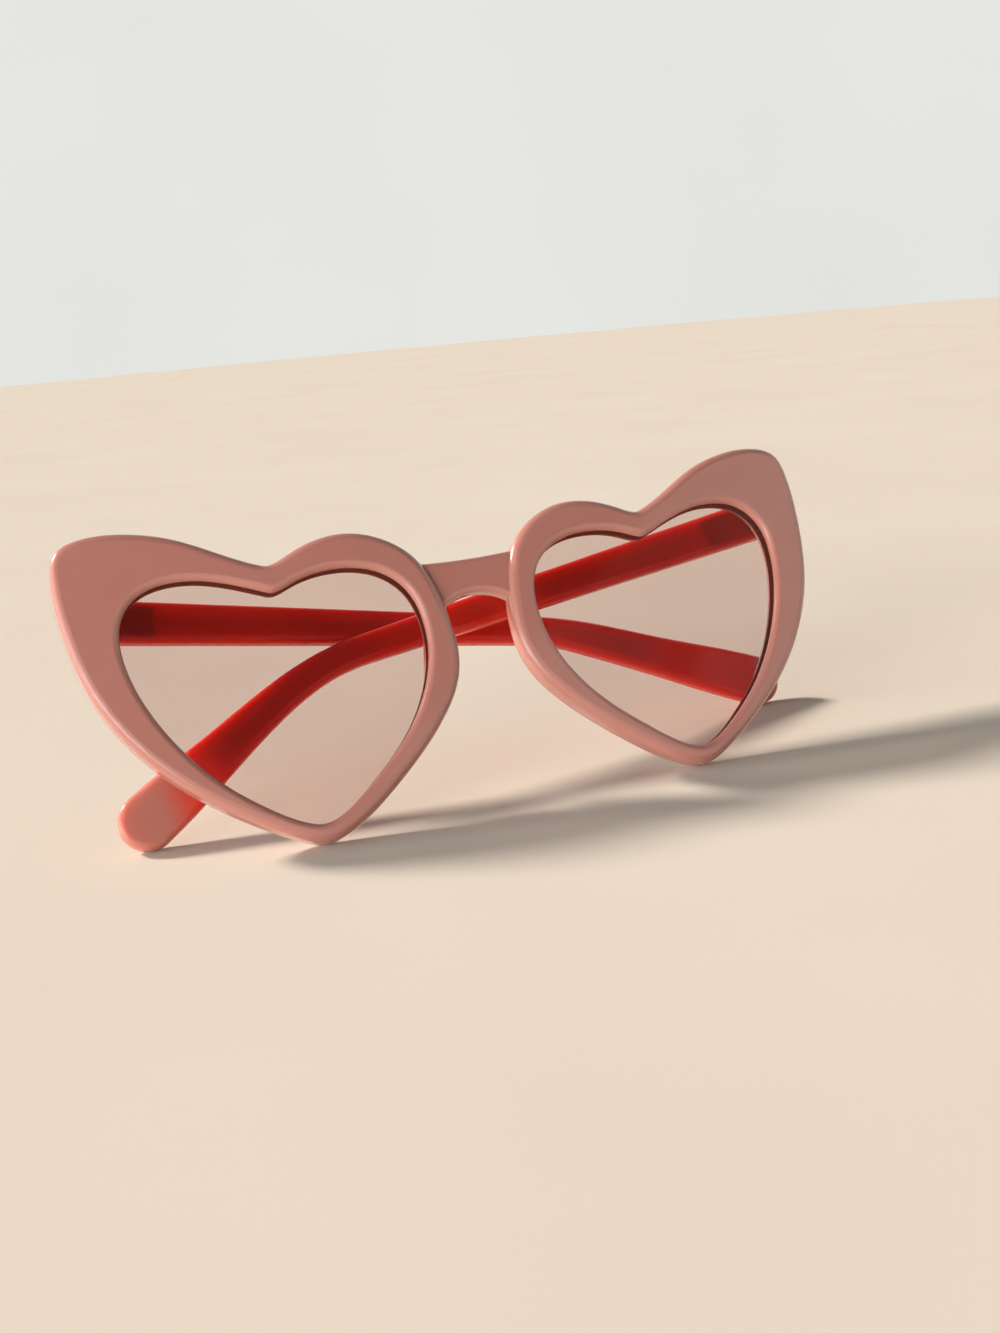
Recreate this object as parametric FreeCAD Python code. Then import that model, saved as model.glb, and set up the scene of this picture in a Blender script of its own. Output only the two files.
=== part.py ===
import FreeCAD, Part
import math
import os

# Heart shaped sunglasses, standing folded: the front leans back on its heart points and on the temple tips.
# Millimetres and degrees. The front is drawn upright first: X to the viewer's right, Y to the back, Z up from
# the heart points, and Y = 0 on the middle of the front face. Left and right are the wearer's, so left is +X.

# Front
HEART_WIDTH = 67.0          # one heart, nose side to outer side
HEART_HEIGHT = 61.0         # heart point to the raised outer corner
BRIDGE_WIDTH = 11.4         # between the two hearts
FRONT_CURVE = 530.0         # radius of the bow of the front face
FRONT_THICKNESS = 4.6
OUTER_ROUND = 1.7           # rounding of the outer front edge
INNER_ROUND = 1.1           # rounding of the front edge at the lens
BACK_ROUND = 0.8            # rounding of the back edges
FLAT_LEFT = 0.07            # flat left between the front roundings where a rim is narrowest

# Rim widths at the four sides of a lens opening
RIM_NOSE = 5.2
RIM_OUTER = 9.3
RIM_TOP = 10.8
RIM_BOTTOM = 3.2

# Outer outline of a heart: shares of its width, from the nose side, and of its height, from the point
HEART_SHARES = [
    (0.467, 0.828), (0.553, 0.876), (0.676, 0.951), (0.800, 0.993), (0.902, 1.000), (0.976, 0.970),
    (1.000, 0.878), (0.992, 0.718), (0.957, 0.540), (0.900, 0.405), (0.805, 0.265), (0.660, 0.124),
    (0.525, 0.028), (0.455, 0.000), (0.385, 0.020), (0.255, 0.112), (0.095, 0.270), (0.012, 0.415),
    (0.000, 0.520), (0.014, 0.645), (0.056, 0.772), (0.135, 0.850), (0.235, 0.885), (0.330, 0.875),
    (0.405, 0.843),
]

# Outline of a lens opening, as shares of its own width and height
OPENING_SHARES = [
    (0.497, 0.897), (0.580, 0.938), (0.700, 0.985), (0.820, 0.998), (0.925, 0.962), (0.985, 0.875),
    (0.998, 0.750), (0.962, 0.570), (0.882, 0.385), (0.770, 0.220), (0.640, 0.092), (0.540, 0.020),
    (0.480, 0.001), (0.420, 0.020), (0.300, 0.112), (0.165, 0.245), (0.070, 0.385), (0.012, 0.545),
    (0.002, 0.690), (0.035, 0.820), (0.110, 0.902), (0.215, 0.940), (0.325, 0.940), (0.420, 0.912),
]

# Bridge, a bar between the hearts that sits a little behind their faces
BRIDGE_HEIGHT = 6.6
BRIDGE_LEVEL = 42.5         # its middle, above the heart points
BRIDGE_RECESS = 1.2
BRIDGE_BITE = 2.8           # how far each end runs into a heart
BRIDGE_ARCH = 4.2           # how far the underside falls at its ends
BRIDGE_SADDLE = 0.3         # how far the top rises at its ends
BRIDGE_ROUND = 1.0

# Lenses, curved plates held in a groove of the rim
LENS_THICKNESS = 1.8
LENS_SETBACK = 1.5          # front of the lens behind the front face
LENS_BITE = 1.0             # how deep the lens sits in the groove
LENS_CLEARANCE = 0.08

# Nose pads, on the back of the rims at the nose side
PAD_LENGTH = 13.0
PAD_WIDTH = 3.2
PAD_DEPTH = 2.6
PAD_TOP_LEVEL = 33.5        # top of the pad above the heart points
PAD_INSET = 2.7             # middle of the pad's top, in from the heart's nose side
PAD_SLANT = 13.0            # degrees, following the rim
PAD_SPLAY = 6.0             # degrees, opening towards the face
PAD_ROUND = 1.1

# End blocks on the back of the front, where the hinges sit
HINGE_SPREAD = 132.0        # between the two hinge axes
HINGE_LEVEL = 48.6          # middle of the hinges above the heart points
BLOCK_BACK = 10.0           # flat back of the blocks, behind the front face
BLOCK_HEIGHT = 11.5
BLOCK_ROUND = 1.2
LEAF_MARGIN = 0.9           # plastic left beside the front leaf

# Hinges: three knuckles round a screw, on one leaf in the front and one in the temple
KNUCKLE_RADIUS = 1.3
KNUCKLE_HEIGHT = 1.6
KNUCKLE_CLEARANCE = 0.2     # knuckle to the block's back and to the temple's inner face
WASHER_THICKNESS = 0.25
WASHER_PLAY = 0.03          # above and below each washer
WASHER_INSET = 0.1          # washer rim inside the knuckle's
LEAF_THICKNESS = 0.8
LEAF_CLEARANCE = 0.05
FRONT_LEAF_HEIGHT = 9.0
TEMPLE_LEAF_LENGTH = 10.5
LEAF_COVER = 0.6            # plastic over the temple leaf on the wearer's side
LEAF_EDGE = 0.5             # metal left beside the screws of the temple leaf
PIVOT_RADIUS = 0.6
PIVOT_PLAY = 0.05           # round the pivot in the knuckles and washers
PIVOT_HEAD_RADIUS = 1.0
PIVOT_HEAD_DEPTH = 0.6
SLOT_WIDTH = 0.3
SLOT_DEPTH = 0.25
LEAF_SCREW_RADIUS = 0.5
LEAF_SCREW_HEAD_RADIUS = 0.85
LEAF_SCREW_HEAD_DEPTH = 0.4
LEAF_SCREW_PLAY = 0.02
FRONT_SCREW_LENGTH = 3.2
FRONT_SCREW_SPACING = 6.0
TEMPLE_SCREW_INSET = 6.0    # from the hinge axis
SCREW_WALL = 0.25           # plastic between the core wire and these screws

# Temples, flat bars that slope down, bend over the ear and end in a round bulb
TEMPLE_LENGTH = 142.0       # hinge axis to tip, along the middle
TEMPLE_THICKNESS = 3.6
TEMPLE_SLOPE = 8.45         # degrees down from the hinge
EAR_LENGTH = 56.5           # start of the ear bend to the tip
EAR_RADIUS = 47.0
ROOT_HEIGHT = 8.2
WAIST_HEIGHT = 5.7          # where the bend begins
TIP_RADIUS = 5.2
TEMPLE_ROUND = 1.3
BUTT_CLEARANCE = 0.3        # butt end to the block when the temple stands square
NECK_HEIGHT = 6.5           # where the bend ends
SWELL_HEIGHT = 8.2          # where the bulb begins
SWELL_SHARE = 0.45          # where along the last stretch the bulb begins

# Core wires, flat strips pushed into the temples from the butt end
WIRE_THICKNESS = 0.8
WIRE_HEIGHT = 2.0
WIRE_TAIL = 15.0            # straight end of the wire past the bend
WIRE_WALL = 0.4             # plastic between the wire and the hinge leaf
WIRE_CLEARANCE = 0.05

# Pose in which the sunglasses stand
LEAN = 28.0                 # degrees that the front leans back
LEFT_FOLD = 1.2             # degrees left between the left temple and the front's plane
RIGHT_FOLD = 6.5            # the right temple lies behind the left one

OVERRUN = 2.0               # how far cutting shapes run past what they cut
SAME_PLACE = 0.03           # how near two depths count as the same

# Worked out from the sizes above
HEART_LEFT = BRIDGE_WIDTH / 2
OPENING_LEFT = HEART_LEFT + RIM_NOSE
OPENING_WIDTH = HEART_WIDTH - RIM_NOSE - RIM_OUTER
OPENING_HEIGHT = HEART_HEIGHT - RIM_TOP - RIM_BOTTOM
HINGE_X = HINGE_SPREAD / 2
HINGE_REACH = KNUCKLE_RADIUS + KNUCKLE_CLEARANCE
HINGE_Y = BLOCK_BACK + HINGE_REACH
WASHER_SPACE = WASHER_THICKNESS + 2 * WASHER_PLAY
HINGE_HEIGHT = 3 * KNUCKLE_HEIGHT + 2 * WASHER_SPACE
INNER_FACE = HINGE_REACH
OUTER_FACE = INNER_FACE + TEMPLE_THICKNESS
BUTT_END = HINGE_REACH - BUTT_CLEARANCE
TEMPLE_RUN = TEMPLE_LENGTH - EAR_LENGTH
TEMPLE_SCREW_SPREAD = WIRE_HEIGHT / 2 + SCREW_WALL + LEAF_SCREW_RADIUS
TEMPLE_SCREW_LENGTH = TEMPLE_THICKNESS - LEAF_COVER
TEMPLE_LEAF_HALF = TEMPLE_SCREW_SPREAD + LEAF_SCREW_RADIUS + LEAF_EDGE
LEAF_FACE = INNER_FACE + LEAF_COVER
WIRE_FACE = LEAF_FACE + LEAF_THICKNESS + WIRE_WALL

ORIGIN = FreeCAD.Vector(0, 0, 0)
X_AXIS = FreeCAD.Vector(1, 0, 0)
Y_AXIS = FreeCAD.Vector(0, 1, 0)
Z_AXIS = FreeCAD.Vector(0, 0, 1)


def at(x, y, z):
    return FreeCAD.Vector(x, y, z)


def box(low, high):
    size = high - low
    return Part.makeBox(size.x, size.y, size.z, low)


def post(x, y, low, high, radius):
    """An upright round bar between two levels."""
    return Part.makeCylinder(radius, high - low, at(x, y, low))


def joined(shapes):
    return shapes[0].fuse(shapes[1:]).removeSplitter()


def mirrored(shape):
    return shape.mirror(ORIGIN, X_AXIS)


def loop(points):
    curve = Part.BSplineCurve()
    curve.interpolate(Points=points, PeriodicFlag=True)
    return curve


def wire_of(*curves):
    return Part.Wire([curve.toShape() for curve in curves])


def heart_outline(shares, left, bottom, width, height, grow=0):
    """A smooth closed outline through shares of a box, moved outwards by grow."""
    points = [at(left + across * width, 0, bottom + up * height) for across, up in shares]
    curve = loop(points)
    if grow:
        outwards = [curve.tangent(curve.parameter(p))[0].cross(Y_AXIS).normalize() for p in points]
        curve = loop([p + out * grow for p, out in zip(points, outwards)])
    return wire_of(curve)


def outer_outline():
    return heart_outline(HEART_SHARES, HEART_LEFT, 0, HEART_WIDTH, HEART_HEIGHT)


def opening_outline(grow=0):
    return heart_outline(OPENING_SHARES, OPENING_LEFT, RIM_BOTTOM, OPENING_WIDTH, OPENING_HEIGHT, grow)


def bow(x):
    """How far the front face lies behind its middle at x."""
    return FRONT_CURVE - math.sqrt(FRONT_CURVE ** 2 - x ** 2)


def bowed_plate(outline, front, back):
    """The outline pushed through the front, kept between two depths behind the bowed front face."""
    face = Part.Face(outline)
    face.translate(at(0, front - OVERRUN, 0))
    deepest = back + bow(HEART_LEFT + HEART_WIDTH)
    prism = face.extrude(at(0, deepest - front + 2 * OVERRUN, 0))
    foot = at(0, FRONT_CURVE, -HEART_HEIGHT)
    tall = 3 * HEART_HEIGHT
    outside = Part.makeCylinder(FRONT_CURVE - front, tall, foot)
    inside = Part.makeCylinder(FRONT_CURVE - back, tall, foot)
    return outside.cut(inside).common(prism)


def edges_at(shape, depth):
    """The edges that lie on the bowed face at this depth."""
    found = []
    for edge in shape.Edges:
        first = edge.FirstParameter
        last = edge.LastParameter
        spots = [edge.valueAt(first), edge.valueAt((first + last) / 2)]
        depths = [FRONT_CURVE - math.hypot(spot.x, spot.y - FRONT_CURVE) for spot in spots]
        if all(abs(d - depth) < SAME_PLACE for d in depths):
            found.append(edge)
    return found


def edges_of_opening(shape, depth):
    low = OPENING_LEFT - LENS_BITE
    high = OPENING_LEFT + OPENING_WIDTH + LENS_BITE
    edges = edges_at(shape, depth)
    return [edge for edge in edges if edge.BoundBox.XMin > low and edge.BoundBox.XMax < high]


def end_block():
    """The left hinge block on the back of the front."""
    low = at(HINGE_X - KNUCKLE_RADIUS, bow(HINGE_X) + FRONT_THICKNESS / 2, HINGE_LEVEL - BLOCK_HEIGHT / 2)
    high = at(HINGE_X + OUTER_FACE, BLOCK_BACK, HINGE_LEVEL + BLOCK_HEIGHT / 2)
    block = box(low, high)
    return block.makeFillet(BLOCK_ROUND, [edge for edge in block.Edges if edge.BoundBox.YLength > BLOCK_ROUND])


def inner_round():
    """The rounding at the lens, limited to what the narrowest wall leaves beside the outer one."""
    wall = outer_outline().distToShape(opening_outline())[0]
    return min(INNER_ROUND, wall - OUTER_ROUND - FLAT_LEFT)


def heart_rim():
    """The left heart with its hinge block, lens opening and groove."""
    heart = bowed_plate(outer_outline(), 0, FRONT_THICKNESS)
    heart = heart.makeFillet(OUTER_ROUND, edges_at(heart, 0))
    heart = heart.makeFillet(BACK_ROUND, edges_at(heart, FRONT_THICKNESS))
    rim = heart.cut(bowed_plate(opening_outline(), -OVERRUN, FRONT_THICKNESS + OVERRUN))
    rim = rim.makeFillet(inner_round(), edges_of_opening(rim, 0))
    rim = rim.makeFillet(BACK_ROUND, edges_of_opening(rim, FRONT_THICKNESS))
    rim = rim.fuse(end_block())
    groove_front = LENS_SETBACK - LENS_CLEARANCE
    groove_back = LENS_SETBACK + LENS_THICKNESS + LENS_CLEARANCE
    rim = rim.cut(bowed_plate(opening_outline(LENS_BITE + LENS_CLEARANCE), groove_front, groove_back))
    rim = rim.cut(front_leaf_plate(LEAF_CLEARANCE))
    for place in front_screw_places():
        rim = rim.cut(leaf_screw(place, FRONT_SCREW_LENGTH, -Y_AXIS, LEAF_SCREW_PLAY))
    return rim


def left_lens():
    return bowed_plate(opening_outline(LENS_BITE), LENS_SETBACK, LENS_SETBACK + LENS_THICKNESS)


def bridge():
    end = HEART_LEFT + BRIDGE_BITE
    under = BRIDGE_LEVEL - BRIDGE_HEIGHT / 2
    top = BRIDGE_LEVEL + BRIDGE_HEIGHT / 2
    low = under - BRIDGE_ARCH
    high = top + BRIDGE_SADDLE
    outline = wire_of(
        Part.Arc(at(-end, 0, low), at(0, 0, under), at(end, 0, low)),
        Part.LineSegment(at(end, 0, low), at(end, 0, high)),
        Part.Arc(at(end, 0, high), at(0, 0, top), at(-end, 0, high)),
        Part.LineSegment(at(-end, 0, high), at(-end, 0, low)),
    )
    bar = bowed_plate(outline, BRIDGE_RECESS, FRONT_THICKNESS)
    faces = edges_at(bar, BRIDGE_RECESS) + edges_at(bar, FRONT_THICKNESS)
    return bar.makeFillet(BRIDGE_ROUND, [edge for edge in faces if edge.BoundBox.XLength > BRIDGE_WIDTH])


def front_leaf_plate(grow=0):
    half = FRONT_LEAF_HEIGHT / 2 + grow
    inner = HINGE_X - KNUCKLE_RADIUS - grow
    outer = HINGE_X + OUTER_FACE - LEAF_MARGIN + grow
    seat = BLOCK_BACK - LEAF_THICKNESS
    return box(at(inner, seat, HINGE_LEVEL - half), at(outer, BLOCK_BACK + grow, HINGE_LEVEL + half))


def front_screw_places():
    x = HINGE_X + INNER_FACE + TEMPLE_THICKNESS / 2
    levels = (HINGE_LEVEL - FRONT_SCREW_SPACING / 2, HINGE_LEVEL + FRONT_SCREW_SPACING / 2)
    return [at(x, BLOCK_BACK, level) for level in levels]


def leaf_screw(top, length, way, play=0):
    """A flush screw, or with play the hole for it, from its head's top along the way that it points."""
    head = Part.makeCylinder(LEAF_SCREW_HEAD_RADIUS + play, LEAF_SCREW_HEAD_DEPTH, top, way)
    shank = Part.makeCylinder(LEAF_SCREW_RADIUS + play, length + play, top, way)
    return head.fuse(shank).removeSplitter()


def slotted(screw, top, radius, half):
    """The screw with a driver slot across its head, along X, with these half sizes along Y and Z."""
    reach = at(radius + OVERRUN, half[0], half[1])
    return screw.cut(box(top - reach, top + reach))


def knuckle_levels():
    """Bottom of each knuckle, from the lowest one up, measured from the middle of the hinge."""
    step = KNUCKLE_HEIGHT + WASHER_SPACE
    return [-HINGE_HEIGHT / 2 + step * number for number in range(3)]


def left_front_leaf():
    leaf = [front_leaf_plate()]
    for level in (knuckle_levels()[0], knuckle_levels()[2]):
        low = HINGE_LEVEL + level
        high = low + KNUCKLE_HEIGHT
        leaf.append(post(HINGE_X, HINGE_Y, low, high, KNUCKLE_RADIUS))
        seat = BLOCK_BACK - LEAF_THICKNESS
        leaf.append(box(at(HINGE_X - KNUCKLE_RADIUS, seat, low), at(HINGE_X + KNUCKLE_RADIUS, HINGE_Y, high)))
    leaf = joined(leaf)
    bottom = HINGE_LEVEL - HINGE_HEIGHT / 2
    top = HINGE_LEVEL + HINGE_HEIGHT / 2
    leaf = leaf.cut(post(HINGE_X, HINGE_Y, bottom, top, PIVOT_RADIUS + PIVOT_PLAY))
    leaf = leaf.cut(post(HINGE_X, HINGE_Y, top - PIVOT_HEAD_DEPTH, top, PIVOT_HEAD_RADIUS + PIVOT_PLAY))
    for place in front_screw_places():
        leaf = leaf.cut(leaf_screw(place, FRONT_SCREW_LENGTH, -Y_AXIS, LEAF_SCREW_PLAY))
    return leaf


def left_front_leaf_screws():
    screws = []
    for place in front_screw_places():
        screw = leaf_screw(place, FRONT_SCREW_LENGTH, -Y_AXIS)
        screws.append(slotted(screw, place, LEAF_SCREW_HEAD_RADIUS, (SLOT_DEPTH, SLOT_WIDTH / 2)))
    return Part.makeCompound(screws)


def left_hinge_screw():
    bottom = HINGE_LEVEL - HINGE_HEIGHT / 2
    top = HINGE_LEVEL + HINGE_HEIGHT / 2
    shank = post(HINGE_X, HINGE_Y, bottom, top, PIVOT_RADIUS)
    head = post(HINGE_X, HINGE_Y, top - PIVOT_HEAD_DEPTH, top, PIVOT_HEAD_RADIUS)
    screw = joined([shank, head])
    return slotted(screw, at(HINGE_X, HINGE_Y, top), PIVOT_HEAD_RADIUS, (SLOT_WIDTH / 2, SLOT_DEPTH))


def left_hinge_washers():
    washers = []
    for level in knuckle_levels()[:2]:
        low = HINGE_LEVEL + level + KNUCKLE_HEIGHT + WASHER_PLAY
        high = low + WASHER_THICKNESS
        ring = post(HINGE_X, HINGE_Y, low, high, KNUCKLE_RADIUS - WASHER_INSET)
        washers.append(ring.cut(post(HINGE_X, HINGE_Y, low, high, PIVOT_RADIUS + PIVOT_PLAY)))
    return Part.makeCompound(washers)


def left_nose_pad():
    """A rounded pad that leans away from the nose, seated on the bowed back of the rim."""
    radius = PAD_WIDTH / 2
    half = PAD_LENGTH / 2 - radius
    depth = PAD_DEPTH + OVERRUN
    outline = wire_of(
        Part.LineSegment(at(radius, 0, -half), at(radius, 0, half)),
        Part.Arc(at(radius, 0, half), at(0, 0, half + radius), at(-radius, 0, half)),
        Part.LineSegment(at(-radius, 0, half), at(-radius, 0, -half)),
        Part.Arc(at(-radius, 0, -half), at(0, 0, -half - radius), at(radius, 0, -half)),
    )
    lean_out = math.tan(math.radians(PAD_SPLAY))
    pad = Part.Face(outline).extrude(at(depth * lean_out, depth, 0))
    ends = [edge for edge in pad.Edges if edge.BoundBox.YMin > depth - SAME_PLACE]
    pad = pad.makeFillet(PAD_ROUND, ends)
    pad.translate(at(0, 0, -half - radius))
    pad.rotate(ORIGIN, Y_AXIS, -PAD_SLANT)
    seat = bow(HEART_LEFT) + FRONT_THICKNESS
    pad.translate(at(HEART_LEFT + PAD_INSET - OVERRUN * lean_out, seat - OVERRUN, PAD_TOP_LEVEL))
    foot = at(0, FRONT_CURVE, -HEART_HEIGHT)
    return pad.common(Part.makeCylinder(FRONT_CURVE - FRONT_THICKNESS, 3 * HEART_HEIGHT, foot))


def front_frame():
    rim = heart_rim()
    return rim.fuse([mirrored(rim), bridge()])


# The temples are drawn round their own hinge axis, folded square: along -X from the axis, outer face to +Y.
def temple_spot(along, up, bend):
    """A point beside the middle line of a temple with this bend, in radians, up square to the line."""
    slope = math.radians(TEMPLE_SLOPE)
    x = min(along, TEMPLE_RUN) * math.cos(slope)
    z = min(along, TEMPLE_RUN) * math.sin(slope)
    turn = min(max((along - TEMPLE_RUN) / EAR_RADIUS, 0), bend)
    x += EAR_RADIUS * (math.sin(slope + turn) - math.sin(slope))
    z += EAR_RADIUS * (math.cos(slope) - math.cos(slope + turn))
    rest = max(along - TEMPLE_RUN - EAR_RADIUS * bend, 0)
    x += rest * math.cos(slope + turn)
    z += rest * math.sin(slope + turn)
    return at(-x - up * math.sin(slope + turn), 0, -z + up * math.cos(slope + turn))


def temple_outline(bend):
    slope = math.radians(TEMPLE_SLOPE)
    neck = TEMPLE_RUN + EAR_RADIUS * bend
    tip = TEMPLE_LENGTH - TIP_RADIUS
    swell = neck + SWELL_SHARE * (tip - neck)
    stations = [(TEMPLE_RUN, WAIST_HEIGHT), (neck, NECK_HEIGHT), (swell, SWELL_HEIGHT), (tip, 2 * TIP_RADIUS)]
    rise = BUTT_END * math.tan(slope)
    edges = []
    for side in (1, -1):
        root = at(BUTT_END, 0, rise + side * ROOT_HEIGHT / 2 / math.cos(slope))
        spots = [temple_spot(along, side * height / 2, bend) for along, height in stations]
        curve = Part.BSplineCurve()
        end_way = temple_spot(TEMPLE_LENGTH, 0, bend) - temple_spot(tip, 0, bend)
        curve.interpolate(
            Points=spots, InitialTangent=(spots[0] - root).normalize(), FinalTangent=end_way.normalize())
        edges.append((root, spots, curve))
    upper, lower = edges
    return wire_of(
        Part.LineSegment(lower[0], upper[0]),
        Part.LineSegment(upper[0], upper[1][0]),
        upper[2],
        Part.Arc(upper[1][-1], temple_spot(TEMPLE_LENGTH, 0, bend), lower[1][-1]),
        lower[2],
        Part.LineSegment(lower[1][0], lower[0]),
    )


def wire_strip(bend, start, grow=0):
    """The core wire, or with grow its channel, from start along the middle line."""
    half = WIRE_HEIGHT / 2 + grow
    neck = TEMPLE_RUN + EAR_RADIUS * bend
    end = neck + WIRE_TAIL + grow
    middle = (TEMPLE_RUN + neck) / 2
    stations = (start, TEMPLE_RUN, middle, neck, end)
    up = [temple_spot(along, half, bend) for along in stations]
    down = [temple_spot(along, -half, bend) for along in stations]
    outline = wire_of(
        Part.LineSegment(down[0], up[0]), Part.LineSegment(up[0], up[1]), Part.Arc(up[1], up[2], up[3]),
        Part.LineSegment(up[3], up[4]), Part.LineSegment(up[4], down[4]), Part.LineSegment(down[4], down[3]),
        Part.Arc(down[3], down[2], down[1]), Part.LineSegment(down[1], down[0]),
    )
    face = Part.Face(outline)
    face.translate(at(0, WIRE_FACE - grow, 0))
    return face.extrude(at(0, WIRE_THICKNESS + 2 * grow, 0))


def temple_leaf_plate(grow=0, run=0):
    """The flat of the temple leaf, or with grow its slot, which runs on through the butt end."""
    low = at(-TEMPLE_LEAF_LENGTH - grow, LEAF_FACE - grow, -TEMPLE_LEAF_HALF - grow)
    return box(low, at(run, LEAF_FACE + LEAF_THICKNESS + grow, TEMPLE_LEAF_HALF + grow))


def temple_leaf_web(grow=0, run=0):
    """What joins the knuckle to the flat of the temple leaf, or with grow its slot."""
    low = at(-KNUCKLE_RADIUS - grow, 0, knuckle_levels()[1] - grow)
    high = at(BUTT_END + run, LEAF_FACE + LEAF_THICKNESS / 2, knuckle_levels()[1] + KNUCKLE_HEIGHT + grow)
    return box(low, high)


def sloped(shape):
    """Turned to follow the straight part of the temple."""
    return shape.rotate(ORIGIN, Y_AXIS, -TEMPLE_SLOPE)


def temple_screw_places():
    levels = (-TEMPLE_SCREW_SPREAD, TEMPLE_SCREW_SPREAD)
    return [at(-TEMPLE_SCREW_INSET, OUTER_FACE, level) for level in levels]


def temple_body(bend):
    face = Part.Face(temple_outline(bend))
    face.translate(at(0, INNER_FACE, 0))
    bar = face.extrude(at(0, TEMPLE_THICKNESS, 0))
    rounded = []
    for edge in bar.Edges:
        flat = edge.BoundBox.YLength < SAME_PLACE
        at_butt = edge.BoundBox.XMin > BUTT_END - SAME_PLACE
        if flat and not at_butt:
            rounded.append(edge)
    bar = bar.makeFillet(TEMPLE_ROUND, rounded)
    bar = bar.cut(sloped(temple_leaf_plate(LEAF_CLEARANCE, BUTT_END + OVERRUN)))
    bar = bar.cut(temple_leaf_web(LEAF_CLEARANCE, OVERRUN))
    for place in temple_screw_places():
        bar = bar.cut(sloped(leaf_screw(place, TEMPLE_SCREW_LENGTH, -Y_AXIS, LEAF_SCREW_PLAY)))
    return bar.cut(wire_strip(bend, -OVERRUN, WIRE_CLEARANCE))


def temple_leaf():
    low = knuckle_levels()[1]
    high = low + KNUCKLE_HEIGHT
    leaf = joined([sloped(temple_leaf_plate()), post(0, 0, low, high, KNUCKLE_RADIUS), temple_leaf_web()])
    leaf = leaf.cut(post(0, 0, low, high, PIVOT_RADIUS + PIVOT_PLAY))
    for place in temple_screw_places():
        leaf = leaf.cut(sloped(leaf_screw(place, TEMPLE_SCREW_LENGTH, -Y_AXIS, LEAF_SCREW_PLAY)))
    return leaf


def temple_leaf_screws():
    screws = []
    for place in temple_screw_places():
        screw = leaf_screw(place, TEMPLE_SCREW_LENGTH, -Y_AXIS)
        screws.append(sloped(slotted(screw, place, LEAF_SCREW_HEAD_RADIUS, (SLOT_DEPTH, SLOT_WIDTH / 2))))
    return Part.makeCompound(screws)


def leaned(shape):
    return shape.copy().rotate(ORIGIN, X_AXIS, -LEAN)


def tip_reach(bend, fold):
    """How far below the upright frame's origin a folded temple's tip reaches once the front leans."""
    tip = temple_spot(TEMPLE_LENGTH - TIP_RADIUS, 0, bend)
    middle = (INNER_FACE + OUTER_FACE) / 2
    fold = math.radians(fold)
    lean = math.radians(LEAN)
    y = HINGE_Y - tip.x * math.sin(fold) + middle * math.cos(fold)
    through = math.sin(lean) * math.cos(fold)
    beside = math.sqrt(1 - through ** 2)
    reach = y * math.sin(lean) - (HINGE_LEVEL + tip.z) * math.cos(lean)
    reach += (TIP_RADIUS - TEMPLE_ROUND) * beside + (TEMPLE_THICKNESS / 2 - TEMPLE_ROUND) * through
    return reach + TEMPLE_ROUND


def bend_to_ground(fold, depth):
    """The ear bend, in radians, with which a folded temple's tip stands on the ground at this depth."""
    low = 0
    high = math.pi / 2
    for _ in range(60):
        bend = (low + high) / 2
        if tip_reach(bend, fold) < depth:
            low = bend
        else:
            high = bend
    return (low + high) / 2


def on_left(shape):
    return shape.rotate(ORIGIN, Z_AXIS, -LEFT_FOLD).translate(at(HINGE_X, HINGE_Y, HINGE_LEVEL))


def on_right(shape):
    return mirrored(shape).rotate(ORIGIN, Z_AXIS, RIGHT_FOLD).translate(at(-HINGE_X, HINGE_Y, HINGE_LEVEL))


def all_parts():
    frame = front_frame()
    parts = {"front_frame": frame}
    in_front = {
        "lens": left_lens,
        "nose_pad": left_nose_pad,
        "front_hinge_leaf": left_front_leaf,
        "front_leaf_screws": left_front_leaf_screws,
        "hinge_screw": left_hinge_screw,
        "hinge_washers": left_hinge_washers,
    }
    for name, make in in_front.items():
        parts["left_" + name] = make()
        parts["right_" + name] = mirrored(parts["left_" + name])
    depth = -leaned(frame).optimalBoundingBox(False, False).ZMin
    for side, fold, place in (("left_", LEFT_FOLD, on_left), ("right_", RIGHT_FOLD, on_right)):
        bend = bend_to_ground(fold, depth)
        print(side + "temple bends by", round(math.degrees(bend), 2), "degrees")
        parts[side + "temple"] = place(temple_body(bend))
        parts[side + "core_wire"] = place(wire_strip(bend, 0))
        parts[side + "temple_hinge_leaf"] = place(temple_leaf())
        parts[side + "temple_leaf_screws"] = place(temple_leaf_screws())
    return parts


def main():
    os.makedirs("parts", exist_ok=True)
    parts = {name: leaned(shape) for name, shape in all_parts().items()}
    whole = FreeCAD.BoundBox()
    for shape in parts.values():
        whole.add(shape.optimalBoundingBox(False, False))
    home = at(-whole.Center.x, -whole.Center.y, -whole.ZMin)
    for name, shape in parts.items():
        shape.translate(home)
        shape.exportStep("parts/" + name + ".step")
        print(name, len(shape.Solids), "solids", round(shape.Volume, 2), "mm3", "valid", shape.isValid())
    print("size", whole.XLength, whole.YLength, whole.ZLength)
    turn = FreeCAD.Rotation(X_AXIS, -LEAN)
    for side in (1, -1):
        hinge = turn.multVec(at(side * HINGE_X, HINGE_Y, HINGE_LEVEL)) + home
        print("hinge at", hinge.x, hinge.y, hinge.z, "along", turn.multVec(Z_AXIS))


main()
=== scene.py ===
import math

import bpy
from mathutils import Matrix, Vector


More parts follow.
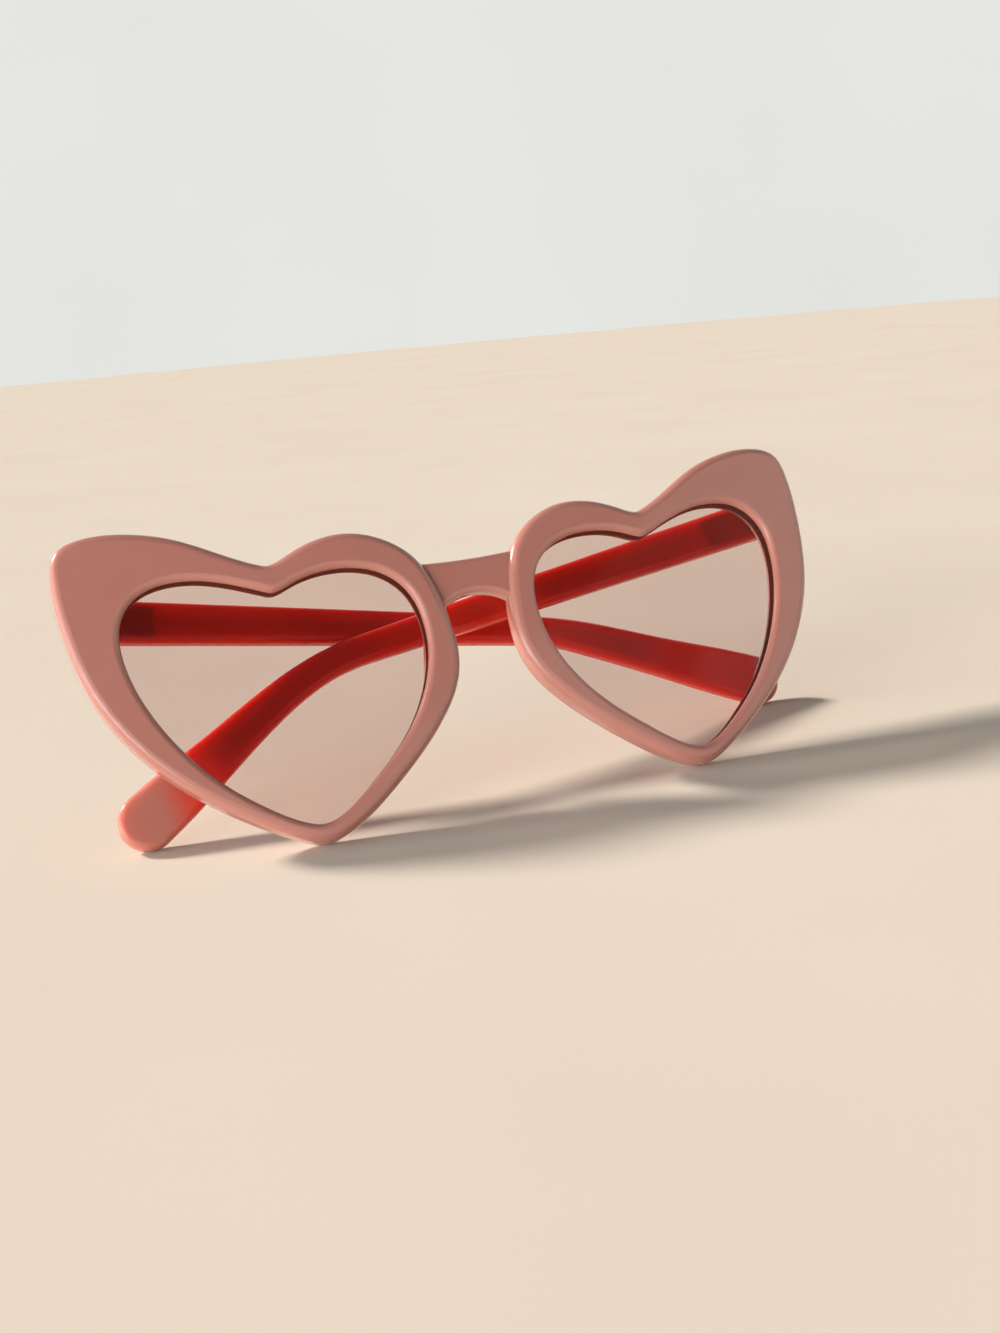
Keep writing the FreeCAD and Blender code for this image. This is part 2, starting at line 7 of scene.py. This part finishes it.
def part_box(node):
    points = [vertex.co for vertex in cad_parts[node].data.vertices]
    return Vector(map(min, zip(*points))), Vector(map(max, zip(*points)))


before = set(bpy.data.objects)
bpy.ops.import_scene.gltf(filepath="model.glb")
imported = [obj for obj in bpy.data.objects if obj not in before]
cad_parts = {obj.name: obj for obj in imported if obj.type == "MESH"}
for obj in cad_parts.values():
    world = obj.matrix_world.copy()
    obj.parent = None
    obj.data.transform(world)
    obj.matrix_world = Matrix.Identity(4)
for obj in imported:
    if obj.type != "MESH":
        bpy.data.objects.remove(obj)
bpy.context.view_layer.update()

# Camera, worked out from the photograph: its place in metres, the ways right and ahead, and its lens in mm
CAMERA_PLACE = Vector((-0.0887, -0.2561, 0.0879))
CAMERA_RIGHT = Vector((0.929, -0.3597, -0.0885))
CAMERA_FORWARD = Vector((0.331, 0.9134, -0.2376))
CAMERA_LENS = 40.67
CAMERA_SENSOR = 36.0
CAMERA_NEAREST = 0.01
CAMERA_FARTHEST = 20

# Colours, linear
FRONT_PINK = (0.500, 0.200, 0.150, 1)
FRONT_ROSE = (0.475, 0.184, 0.136, 1)
# Temple reds: painted shade for the temples' shaded inner side, which faces forwards when folded; the
# temple's own colour is the pink
TEMPLE_SHADE_RED = (0.780, 0.042, 0.022, 1)
TEMPLE_SHADE_DEEP = (0.700, 0.033, 0.016, 1)
TEMPLE_PINK = (0.540, 0.215, 0.160, 1)
LENS_CLEAR = (0.880, 0.815, 0.810, 1)
LENS_DEEP = (0.865, 0.800, 0.795, 1)
LENS_SHADE = (0.34, 0.29, 0.26, 1)
LENS_MIRROR = (1, 1, 1, 1)
HINGE_LIGHT = (0.62, 0.61, 0.59, 1)
HINGE_DARK = (0.42, 0.41, 0.40, 1)
SCREW_LIGHT = (0.70, 0.69, 0.67, 1)
SCREW_DARK = (0.50, 0.49, 0.47, 1)
WIRE_LIGHT = (0.60, 0.59, 0.57, 1)
WIRE_DARK = (0.45, 0.44, 0.43, 1)
NYLON_LIGHT = (0.70, 0.69, 0.66, 1)
NYLON_DARK = (0.62, 0.61, 0.58, 1)
FLOOR_LIGHT = (0.77, 0.67, 0.555, 1)
FLOOR_DARK = (0.74, 0.64, 0.53, 1)
WALL_LIGHT = (0.80, 0.81, 0.78, 1)
WALL_DARK = (0.76, 0.77, 0.74, 1)

# The span of a noise texture's values that colours and roughness are spread over
NOISE_LOW = 0.3
NOISE_HIGH = 0.7

# Plastic: refraction, roughness of the clear coat, and how far red, green and blue light spread inside it
PLASTIC_IOR = 1.49
COAT_ROUGHNESS = 0.06
GLOW_RADIUS = (1.0, 0.30, 0.22)

# Refraction of the lens's faint mirror and of nylon
LENS_IOR = 1.2
NYLON_IOR = 1.53

# How much rougher a metal's lines get than its smoothest place
METAL_ROUGHER = 0.14

# Folded, a temple's outer side looks backwards: its normal's Y where the painted red shade gives way to
# pink and where it is full pink
OUTER_SIDE = (0.05, 0.75)

# How far from each temple's tip, in metres, the painted red shade starts giving way to the pink end and
# where the end is full pink
PINK_END = {"left": (0.015, 0.008), "right": (0.006, 0.003)}

# Stage: the floor's radius and the wall's height in metres, and the sides of both
STAGE_REACH = 3.0
WALL_HEIGHT = 2.4
STAGE_SIDES = 64

# Lamps, all far off: the way the light comes from, how wide the lamp looks in degrees, strength and colour
WARM = (1.0, 0.96, 0.90)
COOL = (0.80, 0.88, 1.0)
NEUTRAL = (1.0, 0.99, 0.98)
LAMPS = [
    ("window_back", (-0.63, 0.55, 0.54), 9, 4.0, WARM),
    ("window_side", (-0.98, -0.25, 0.17), 14, 0.7, COOL),
    ("window_side", (-0.98, 0.0, 0.17), 14, 0.7, COOL),
    ("window_side", (-0.98, 0.25, 0.17), 14, 0.7, COOL),
    ("room_fill", (-0.82, -0.55, 0.08), 34, 3.3, NEUTRAL),
]
ROOM_COLOUR = (0.96, 0.97, 1.0, 1)
ROOM_STRENGTH = 0.20


class Nodes:
    """A new node material with short ways to add and join nodes."""

    def __init__(self, name):
        self.material = bpy.data.materials.new(name)
        self.material.use_nodes = True
        self.tree = self.material.node_tree
        self.tree.nodes.clear()
        self.output = self.tree.nodes.new("ShaderNodeOutputMaterial")
        self.coordinates = self.add("TexCoord")
        self.where = self.coordinates.outputs["Object"]

    def add(self, kind, **sockets):
        """A node with plain values on some of its sockets, whose names have _ for a space."""
        node = self.tree.nodes.new("ShaderNode" + kind)
        for name, value in sockets.items():
            node.inputs[name.replace("_", " ")].default_value = value
        return node

    def join(self, source, target):
        self.tree.links.new(source, target)

    def noise(self, scale, detail, where=None):
        node = self.add("TexNoise", Scale=scale, Detail=detail)
        self.join(where or self.where, node.inputs["Vector"])
        return node.outputs["Fac"]

    def ramp(self, source, first, last, low=NOISE_LOW, high=NOISE_HIGH):
        """From one colour to another while the source goes from low to high."""
        node = self.add("ValToRGB")
        for element, position, colour in zip(node.color_ramp.elements, (low, high), (first, last)):
            element.position = position
            element.color = colour
        self.join(source, node.inputs["Fac"])
        return node.outputs["Color"]

    def mapped(self, source, first, last, low=NOISE_LOW, high=NOISE_HIGH):
        """From one number to another while the source goes from low to high."""
        node = self.add("MapRange", From_Min=low, From_Max=high, To_Min=first, To_Max=last)
        self.join(source, node.inputs["Value"])
        return node.outputs["Result"]

    def axes(self, vector):
        node = self.add("SeparateXYZ")
        self.join(vector, node.inputs["Vector"])
        return node.outputs

    def reckoned(self, operation, first, second):
        node = self.add("Math")
        node.operation = operation
        self.join(first, node.inputs[0])
        self.join(second, node.inputs[1])
        return node.outputs["Value"]

    def mixed(self, share, first, second):
        """A mix of two colours."""
        node = self.add("Mix")
        node.data_type = "RGBA"
        self.join(share, node.inputs["Factor"])
        self.join(first, node.inputs["A"])
        self.join(second, node.inputs["B"])
        return node.outputs["Result"]

    def blended(self, share, first, second):
        """A mix of two shaders."""
        node = self.add("MixShader")
        self.join(share, node.inputs["Fac"])
        self.join(first, node.inputs[1])
        self.join(second, node.inputs[2])
        return node.outputs["Shader"]

    def bumped(self, height, strength, distance):
        node = self.add("Bump", Strength=strength, Distance=distance)
        self.join(height, node.inputs["Height"])
        return node.outputs["Normal"]

    def finished(self, shader):
        self.join(shader, self.output.inputs["Surface"])
        return self.material


def plastic(nodes, colour, coat, specular, glow, depth):
    """Polished moulded plastic: a clear coat over faint flow marks and fine handling haze."""
    shader = nodes.add(
        "BsdfPrincipled",
        IOR=PLASTIC_IOR,
        Coat_Weight=coat,
        Coat_Roughness=COAT_ROUGHNESS,
        Specular_IOR_Level=specular,
        Subsurface_Weight=glow,
        Subsurface_Radius=GLOW_RADIUS,
        Subsurface_Scale=depth,
    )
    haze = nodes.mapped(nodes.noise(scale=240, detail=5), first=0.20, last=0.25)
    flow = nodes.bumped(nodes.noise(scale=90, detail=2), strength=0.02, distance=0.0002)
    nodes.join(colour, shader.inputs["Base Color"])
    nodes.join(haze, shader.inputs["Roughness"])
    nodes.join(flow, shader.inputs["Normal"])
    return nodes.finished(shader.outputs["BSDF"])


def front_plastic():
    """Pink, a little darker in broad clouds."""
    nodes = Nodes("front_plastic")
    colour = nodes.ramp(nodes.noise(scale=26, detail=4), FRONT_ROSE, FRONT_PINK, low=0.35, high=0.68)
    return plastic(nodes, colour, coat=0.9, specular=0.5, glow=0.12, depth=0.0012)


def temple_plastic(side, tip_x, way):
    """Pink plastic with painted shade: the side facing forwards, which lies in shade, is painted deep red;
    the outside and the end towards the tip stay pink.
    """
    nodes = Nodes(side + "_temple_plastic")
    # Mask for the painted shade: faces looking forwards get the deep red, faces looking backwards stay
    # pink
    facing = nodes.axes(nodes.coordinates.outputs["Normal"])
    low, high = OUTER_SIDE
    outside = nodes.mapped(facing["Y"], 0, 1, low=low, high=high)
    start, full = (tip_x - way * reach for reach in PINK_END[side])
    at_tip = nodes.mapped(nodes.axes(nodes.where)["X"], 0, 1, low=start, high=full)
    grain = nodes.noise(scale=30, detail=4)
    # Painted shade: this deep red stands in for the shade on the temple's inner side, with a random grain
    # between two reds
    red = nodes.ramp(grain, TEMPLE_SHADE_DEEP, TEMPLE_SHADE_RED)
    pink = nodes.ramp(grain, FRONT_PINK, TEMPLE_PINK)
    colour = nodes.mixed(nodes.reckoned("MAXIMUM", outside, at_tip), red, pink)
    return plastic(nodes, colour, coat=0.2, specular=0.25, glow=1.0, depth=0.005)


def lens_glass():
    """A tinted lens: a tint for what is seen through it, a faint mirror outside and a darker shadow."""
    nodes = Nodes("lens_tint")
    tint = nodes.ramp(nodes.noise(scale=35, detail=3), LENS_DEEP, LENS_CLEAR)
    clear = nodes.add("BsdfTransparent")
    nodes.join(tint, clear.inputs["Color"])
    gloss = nodes.add("BsdfGlossy", Color=LENS_MIRROR)
    smears = nodes.mapped(nodes.noise(scale=120, detail=5), 0.02, 0.09, low=0.35, high=0.75)
    nodes.join(smears, gloss.inputs["Roughness"])
    share = nodes.add("Fresnel", IOR=LENS_IOR).outputs["Fac"]
    inside = nodes.add("NewGeometry").outputs["Backfacing"]
    outer_share = nodes.reckoned("MULTIPLY", share, nodes.mapped(inside, 1, 0, low=0, high=1))
    glass = nodes.blended(outer_share, clear.outputs["BSDF"], gloss.outputs["BSDF"])
    shade = nodes.add("BsdfTransparent", Color=LENS_SHADE)
    shadow = nodes.add("LightPath").outputs["Is Shadow Ray"]
    return nodes.finished(nodes.blended(shadow, glass, shade.outputs["BSDF"]))


def metal(name, dark, light, smoothest, stretch):
    """Drawn or turned metal with fine lines, packed closer along the axes with a large stretch."""
    nodes = Nodes(name)
    spread = nodes.add("Mapping", Scale=stretch)
    nodes.join(nodes.where, spread.inputs["Vector"])
    lines = nodes.noise(scale=900, detail=5, where=spread.outputs["Vector"])
    shader = nodes.add("BsdfPrincipled", Metallic=1.0)
    nodes.join(nodes.ramp(lines, dark, light), shader.inputs["Base Color"])
    nodes.join(nodes.mapped(lines, smoothest, smoothest + METAL_ROUGHER), shader.inputs["Roughness"])
    nodes.join(nodes.bumped(lines, strength=0.15, distance=0.00005), shader.inputs["Normal"])
    return nodes.finished(shader.outputs["BSDF"])


def washer_nylon():
    """Pale nylon with a fine grain."""
    nodes = Nodes("washer_nylon")
    grain = nodes.noise(scale=1500, detail=4)
    shader = nodes.add("BsdfPrincipled", IOR=NYLON_IOR)
    nodes.join(nodes.ramp(grain, NYLON_DARK, NYLON_LIGHT), shader.inputs["Base Color"])
    nodes.join(nodes.mapped(grain, first=0.45, last=0.6), shader.inputs["Roughness"])
    return nodes.finished(shader.outputs["BSDF"])


def floor_pale():
    """Plain, matt and pale."""
    nodes = Nodes("floor_pale")
    colour = nodes.ramp(nodes.noise(scale=9, detail=3), FLOOR_DARK, FLOOR_LIGHT)
    shader = nodes.add("BsdfPrincipled", Roughness=0.9, Specular_IOR_Level=0.0)
    nodes.join(colour, shader.inputs["Base Color"])
    return nodes.finished(shader.outputs["BSDF"])


def wall_pale():
    """Pale where the wall is seen, mirrored or seen through a lens, and no bar to the light."""
    nodes = Nodes("wall_pale")
    colour = nodes.ramp(nodes.noise(scale=1.5, detail=3), WALL_DARK, WALL_LIGHT)
    bright = nodes.add("Emission")
    nodes.join(colour, bright.inputs["Color"])
    unseen = nodes.add("BsdfTransparent")
    path = nodes.add("LightPath").outputs
    seen = path["Is Camera Ray"]
    for other in ("Is Glossy Ray", "Is Transmission Ray"):
        seen = nodes.reckoned("MAXIMUM", seen, path[other])
    return nodes.finished(nodes.blended(seen, unseen.outputs["BSDF"], bright.outputs["Emission"]))


def dress(node, material):
    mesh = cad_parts[node].data
    mesh.materials.clear()
    mesh.materials.append(material)


def add_materials():
    pink = front_plastic()
    steel = metal("hinge_steel", HINGE_DARK, HINGE_LIGHT, smoothest=0.26, stretch=(1, 1, 14))
    screw = metal("screw_steel", SCREW_DARK, SCREW_LIGHT, smoothest=0.20, stretch=(6, 6, 6))
    wire = metal("wire_steel", WIRE_DARK, WIRE_LIGHT, smoothest=0.30, stretch=(1, 12, 12))
    washer = washer_nylon()
    lens = lens_glass()
    dress("front_frame", pink)
    for side, way in (("left", -1), ("right", 1)):
        low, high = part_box(side + "_temple")
        tip_x = low.x if way < 0 else high.x
        dress(side + "_temple", temple_plastic(side, tip_x, way))
        dress(side + "_lens", lens)
        dress(side + "_nose_pad", pink)
        dress(side + "_front_hinge_leaf", steel)
        dress(side + "_temple_hinge_leaf", steel)
        dress(side + "_core_wire", wire)
        dress(side + "_hinge_washers", washer)
        for screws in ("_front_leaf_screws", "_temple_leaf_screws", "_hinge_screw"):
            dress(side + screws, screw)


def stage_circle(height):
    """Corners of the stage's round edge at one height."""
    turns = [2 * math.pi * step / STAGE_SIDES for step in range(STAGE_SIDES)]
    return [(STAGE_REACH * math.cos(turn), STAGE_REACH * math.sin(turn), height) for turn in turns]


def stage_sheet(name, corners, faces, material):
    mesh = bpy.data.meshes.new(name)
    mesh.from_pydata(corners, [], faces)
    mesh.materials.append(material)
    mesh.shade_smooth()
    thing = bpy.data.objects.new(name, mesh)
    bpy.context.scene.collection.objects.link(thing)


def add_stage():
    """A pale round floor with a pale wall far around it."""
    low = list(range(STAGE_SIDES))
    high = [corner + STAGE_SIDES for corner in low]
    walls = [(low[step - 1], low[step], high[step], high[step - 1]) for step in low]
    stage_sheet("floor", stage_circle(0), [low], floor_pale())
    stage_sheet("wall", stage_circle(0) + stage_circle(WALL_HEIGHT), walls, wall_pale())


def add_light():
    """Even light from far off, and a weak light from all round."""
    for name, way, spread, strength, colour in LAMPS:
        data = bpy.data.lights.new(name, "SUN")
        data.angle = math.radians(spread)
        data.energy = strength
        data.color = colour
        thing = bpy.data.objects.new(name, data)
        thing.rotation_euler = Vector(way).to_track_quat("Z", "Y").to_euler()
        bpy.context.scene.collection.objects.link(thing)
    world = bpy.data.worlds.new("room")
    world.use_nodes = True
    background = world.node_tree.nodes["Background"]
    background.inputs["Color"].default_value = ROOM_COLOUR
    background.inputs["Strength"].default_value = ROOM_STRENGTH
    bpy.context.scene.world = world


def add_camera():
    data = bpy.data.cameras.new("photo_view")
    data.lens = CAMERA_LENS
    data.sensor_width = CAMERA_SENSOR
    data.sensor_fit = "AUTO"
    data.clip_start = CAMERA_NEAREST
    data.clip_end = CAMERA_FARTHEST
    thing = bpy.data.objects.new("photo_view", data)
    back = -CAMERA_FORWARD.normalized()
    up = back.cross(CAMERA_RIGHT).normalized()
    right = up.cross(back)
    turn = Matrix((right, up, back)).transposed().to_4x4()
    thing.matrix_world = Matrix.Translation(CAMERA_PLACE) @ turn
    bpy.context.scene.collection.objects.link(thing)
    bpy.context.scene.camera = thing


add_materials()
add_stage()
add_light()
add_camera()
bpy.context.scene.view_settings.view_transform = "Standard"
